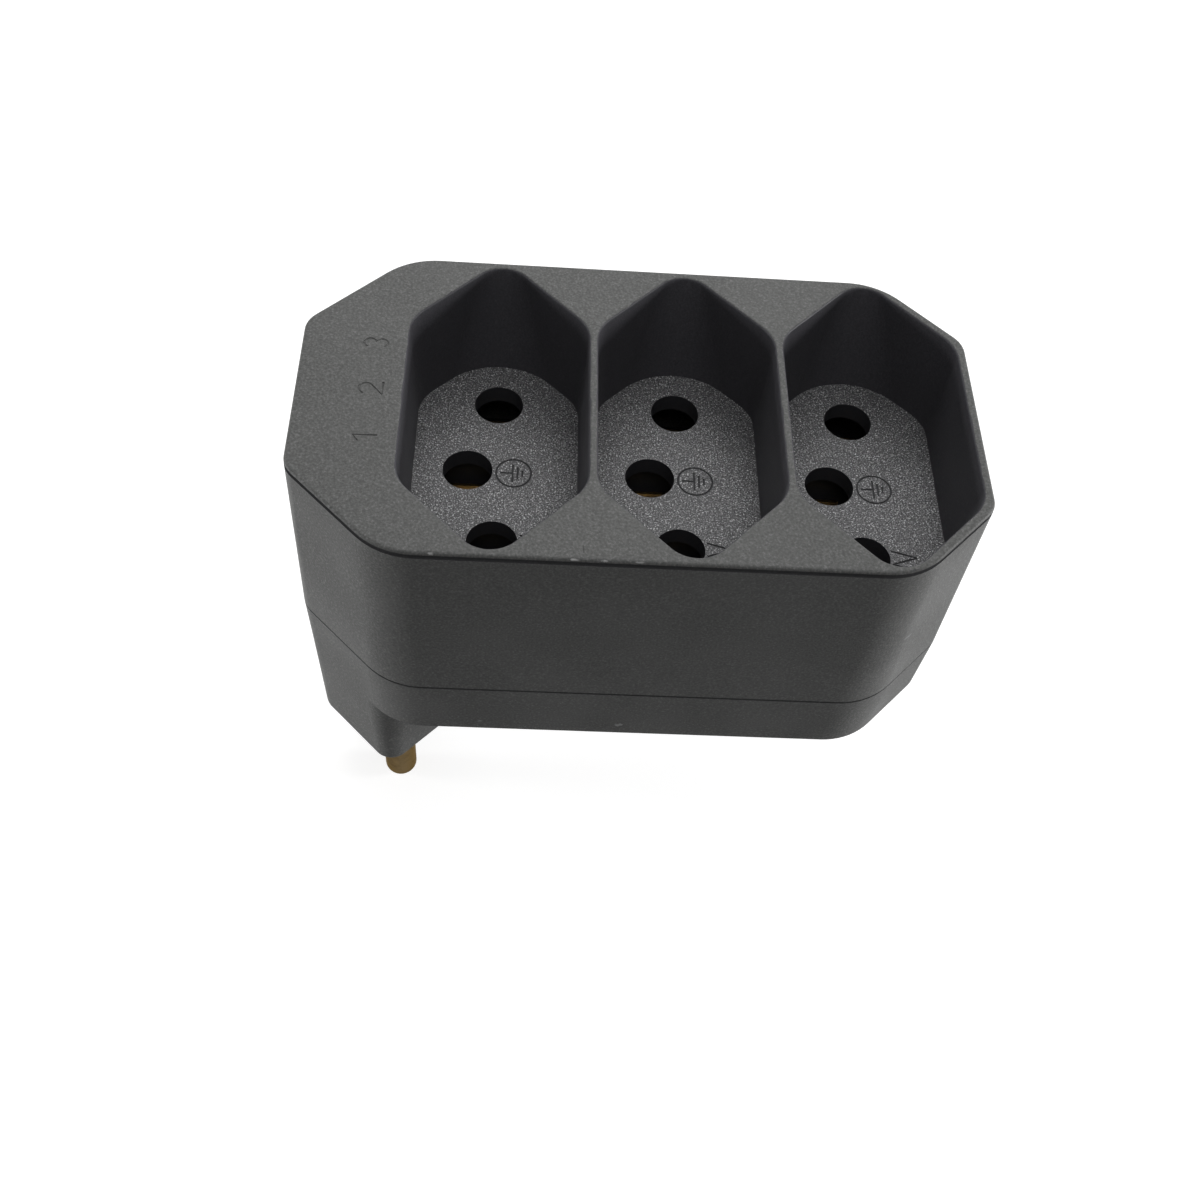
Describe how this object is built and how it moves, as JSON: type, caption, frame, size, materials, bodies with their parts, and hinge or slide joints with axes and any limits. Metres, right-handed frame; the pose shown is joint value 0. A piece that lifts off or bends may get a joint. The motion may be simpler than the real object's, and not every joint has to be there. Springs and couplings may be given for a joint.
{
  "type": "three-way plug adapter",
  "caption": "Plug adapter with three recessed hexagonal outlets in a row and a three-pin plug foot under one end, brass strips and sprung contacts inside.",
  "frame": {"origin": "on the plug foot's end face, midway between the line and neutral pins", "axes": "+X along the body to its far end, +Y to the line side, +Z out of the outlets"},
  "size_m": [0.0706, 0.0404, 0.0614],
  "materials": {
    "casing": "matte",
    "insulator": "matte",
    "brass": "satin",
    "contact_brass": "satin",
    "steel": "satin"
  },
  "bodies": {
    "root": {"front_casing": "casing", "rear_cover": "casing", "pin_retainer": "insulator", "line_busbar": "brass", "neutral_busbar": "brass", "earth_busbar": "brass", "line_pin": "brass", "neutral_pin": "brass", "earth_pin": "brass", "line_contact_1": "contact_brass", "line_contact_2": "contact_brass", "line_contact_3": "contact_brass", "neutral_contact_1": "contact_brass", "neutral_contact_2": "contact_brass", "neutral_contact_3": "contact_brass", "earth_contact_1": "contact_brass", "earth_contact_2": "contact_brass", "earth_contact_3": "contact_brass", "contact_rivets": "brass", "casing_screws": "steel"}
  },
  "joints": []
}
